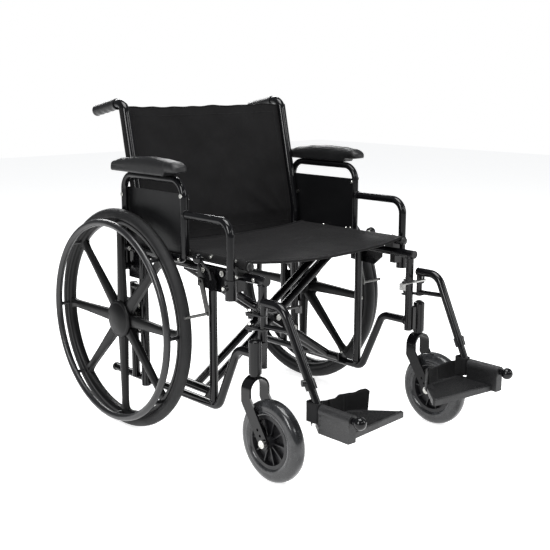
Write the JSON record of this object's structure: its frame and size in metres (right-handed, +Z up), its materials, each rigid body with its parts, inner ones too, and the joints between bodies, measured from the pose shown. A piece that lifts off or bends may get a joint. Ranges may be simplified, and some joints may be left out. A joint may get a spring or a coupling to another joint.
{
  "type": "manual wheelchair",
  "caption": "Folding manual wheelchair with moulded spoke wheels, swivel casters, flip-back armrests, swing-away footrests, wheel locks and a sling seat on a cross brace.",
  "frame": {"origin": "bottom centre of the bounding box, on the floor, midway between the side frames", "axes": "+Z up, -Y the way the occupant faces, +X towards the occupant's left hand"},
  "size_m": [0.799, 1.1549, 0.9018],
  "materials": {
    "frame_black": "glossy black powder coat",
    "rim_grey": "satin dark grey coat",
    "zinc": "bright zinc plate",
    "tyre_black": "matt black solid tyre",
    "wheel_black": "moulded black nylon",
    "hub_black": "moulded black nylon",
    "caster_grey": "grey translucent urethane",
    "vinyl_black": "matt black grained vinyl over foam",
    "panel_black": "semi-matt black panel",
    "plug_black": "black moulded plastic",
    "grip_black": "black ribbed grip",
    "latch_black": "black coated lever with a rubber tip",
    "plate_grey": "dark grey speckled composite",
    "nylon_black": "black coated nylon upholstery",
    "webbing_black": "black woven webbing"
  },
  "bodies": {
    "right_frame": {"side_frame_right": "frame_black", "tube_plugs_right": "plug_black", "hand_grip_right": "grip_black", "axle_bracket_right": "frame_black", "rear_axle_right": "zinc", "caster_housing_right": "frame_black", "seat_guides_right": "plug_black", "lock_bracket_right": "frame_black", "back_sling": "nylon_black"},
    "left_frame": {"side_frame_left": "frame_black", "tube_plugs_left": "plug_black", "hand_grip_left": "grip_black", "axle_bracket_left": "frame_black", "rear_axle_left": "zinc", "caster_housing_left": "frame_black", "seat_guides_left": "plug_black", "lock_bracket_left": "frame_black"},
    "brace_a": {"brace_arm_a": "frame_black", "cross_bolt": "zinc", "seat_sling": "nylon_black"},
    "brace_b": {"brace_arm_b": "frame_black", "brace_plates": "frame_black"},
    "wheel_right": {"rear_tyre_right": "tyre_black", "rear_wheel_right": "wheel_black", "handrim_right": "rim_grey", "hub_cap_right": "wheel_black"},
    "fork_right": {"caster_fork_right": "frame_black", "caster_axle_right": "zinc"},
    "caster_right": {"caster_tyre_right": "caster_grey", "caster_hub_right": "hub_black"},
    "armrest_right": {"armrest_frame_right": "frame_black", "arm_pad_right": "vinyl_black", "skirt_panel_right": "panel_black"},
    "arm_button_right_body": {"arm_button_right": "zinc"},
    "lock_lever_right": {"lock_handle_right": "frame_black"},
    "lock_shoe_right_body": {"lock_shoe_right": "zinc"},
    "swing_right": {"hanger_right": "frame_black"},
    "latch_right": {"hanger_latch_right": "latch_black"},
    "leg_right": {"footrest_tube_right": "frame_black", "heel_loop_right": "webbing_black"},
    "foot_right": {"footplate_right": "plate_grey"},
    "wheel_left": {"rear_tyre_left": "tyre_black", "rear_wheel_left": "wheel_black", "handrim_left": "rim_grey", "hub_cap_left": "wheel_black"},
    "fork_left": {"caster_fork_left": "frame_black", "caster_axle_left": "zinc"},
    "caster_left": {"caster_tyre_left": "caster_grey", "caster_hub_left": "hub_black"},
    "armrest_left": {"armrest_frame_left": "frame_black", "arm_pad_left": "vinyl_black", "skirt_panel_left": "panel_black"},
    "arm_button_left_body": {"arm_button_left": "zinc"},
    "lock_lever_left": {"lock_handle_left": "frame_black"},
    "lock_shoe_left_body": {"lock_shoe_left": "zinc"},
    "swing_left": {"hanger_left": "frame_black"},
    "latch_left": {"hanger_latch_left": "latch_black"},
    "leg_left": {"footrest_tube_left": "frame_black", "heel_loop_left": "webbing_black"},
    "foot_left": {"footplate_left": "plate_grey"}
  },
  "joints": [
    {"name": "fold", "type": "hinge", "parent": "right_frame", "child": "brace_a", "pos_m": [-0.244, 0.0685, 0.135], "axis": [0, -1, 0], "range_deg": [0, 45], "deforming": ["seat_sling", "back_sling"]},
    {"name": "brace_cross", "type": "hinge", "parent": "brace_a", "child": "brace_b", "pos_m": [0, 0.0685, 0.29814], "axis": [0, -1, 0], "range_deg": [-91, 0]},
    {"name": "left_frame_pivot", "type": "hinge", "parent": "brace_b", "child": "left_frame", "pos_m": [0.244, 0.0685, 0.135], "axis": [0, -1, 0], "range_deg": [0, 45.5]},
    {"name": "wheel_right_spin", "type": "hinge", "parent": "right_frame", "child": "wheel_right", "pos_m": [-0.345, 0.2725, 0.305], "axis": [1, 0, 0], "continuous": true},
    {"name": "caster_right_swivel", "type": "hinge", "parent": "right_frame", "child": "fork_right", "pos_m": [-0.305, -0.2415, 0.25], "axis": [0, 0, 1], "continuous": true},
    {"name": "caster_right_roll", "type": "hinge", "parent": "fork_right", "child": "caster_right", "pos_m": [-0.305, -0.3055, 0.1016], "axis": [1, 0, 0], "continuous": true},
    {"name": "armrest_right_flip", "type": "hinge", "parent": "right_frame", "child": "armrest_right", "pos_m": [-0.315, 0.2905, 0.45], "axis": [-1, 0, 0], "range_deg": [0, 88]},
    {"name": "arm_button_right_press", "type": "slide", "parent": "right_frame", "child": "arm_button_right_body", "axis": [1, 0, 0], "range_m": [0, 0.0038], "stiffness_N_per_m": 400},
    {"name": "lock_right_lever", "type": "hinge", "parent": "right_frame", "child": "lock_lever_right", "pos_m": [-0.295, -0.0725, 0.446], "axis": [1, 0, 0], "range_deg": [0, 35]},
    {"name": "lock_right_shoe", "type": "hinge", "parent": "right_frame", "child": "lock_shoe_right_body", "pos_m": [-0.29, -0.0105, 0.446], "axis": [1, 0, 0], "range_deg": [0, 5.1]},
    {"name": "hanger_right_swing", "type": "hinge", "parent": "right_frame", "child": "swing_right", "pos_m": [-0.292, -0.2075, 0.38], "axis": [0, 0, -1], "range_deg": [0, 90]},
    {"name": "hanger_right_release", "type": "hinge", "parent": "swing_right", "child": "latch_right", "pos_m": [-0.281, -0.2745, 0.41], "axis": [0, 0, 1], "range_deg": [0, 15], "stiffness_Nm_per_rad": 0.5},
    {"name": "leg_right_length", "type": "slide", "parent": "swing_right", "child": "leg_right", "axis": [0.0376, -0.4512, -0.8916], "range_m": [0, 0.06]},
    {"name": "footplate_right_flip", "type": "hinge", "parent": "leg_right", "child": "foot_right", "pos_m": [-0.27664, -0.4875, 0.208], "axis": [0, -1, 0], "range_deg": [0, 91], "deforming": ["heel_loop_right"]},
    {"name": "wheel_left_spin", "type": "hinge", "parent": "left_frame", "child": "wheel_left", "pos_m": [0.345, 0.2725, 0.305], "axis": [1, 0, 0], "continuous": true},
    {"name": "caster_left_swivel", "type": "hinge", "parent": "left_frame", "child": "fork_left", "pos_m": [0.305, -0.2415, 0.25], "axis": [0, 0, 1], "continuous": true},
    {"name": "caster_left_roll", "type": "hinge", "parent": "fork_left", "child": "caster_left", "pos_m": [0.305, -0.3055, 0.1016], "axis": [1, 0, 0], "continuous": true},
    {"name": "armrest_left_flip", "type": "hinge", "parent": "left_frame", "child": "armrest_left", "pos_m": [0.315, 0.2905, 0.45], "axis": [-1, 0, 0], "range_deg": [0, 88]},
    {"name": "arm_button_left_press", "type": "slide", "parent": "left_frame", "child": "arm_button_left_body", "axis": [-1, 0, 0], "range_m": [0, 0.0038], "stiffness_N_per_m": 400},
    {"name": "lock_left_lever", "type": "hinge", "parent": "left_frame", "child": "lock_lever_left", "pos_m": [0.295, -0.0725, 0.446], "axis": [1, 0, 0], "range_deg": [0, 35]},
    {"name": "lock_left_shoe", "type": "hinge", "parent": "left_frame", "child": "lock_shoe_left_body", "pos_m": [0.29, -0.0105, 0.446], "axis": [1, 0, 0], "range_deg": [0, 5.1]},
    {"name": "hanger_left_swing", "type": "hinge", "parent": "left_frame", "child": "swing_left", "pos_m": [0.292, -0.2075, 0.38], "axis": [0, 0, 1], "range_deg": [0, 90]},
    {"name": "hanger_left_release", "type": "hinge", "parent": "swing_left", "child": "latch_left", "pos_m": [0.281, -0.2745, 0.41], "axis": [0, 0, -1], "range_deg": [0, 15], "stiffness_Nm_per_rad": 0.5},
    {"name": "leg_left_length", "type": "slide", "parent": "swing_left", "child": "leg_left", "axis": [-0.0376, -0.4512, -0.8916], "range_m": [0, 0.06]},
    {"name": "footplate_left_flip", "type": "hinge", "parent": "leg_left", "child": "foot_left", "pos_m": [0.27664, -0.4875, 0.208], "axis": [0, 1, 0], "range_deg": [0, 91], "deforming": ["heel_loop_left"]}
  ],
  "couplings": [
    {"joint": "brace_cross", "follows": "fold", "ratio": -2},
    {"joint": "left_frame_pivot", "follows": "fold", "ratio": 1},
    {"joint": "lock_right_shoe", "follows": "lock_right_lever", "ratio": 0.14286},
    {"joint": "footplate_right_flip", "follows": "fold", "ratio": 2},
    {"joint": "lock_left_shoe", "follows": "lock_left_lever", "ratio": 0.14286},
    {"joint": "footplate_left_flip", "follows": "fold", "ratio": 2}
  ]
}
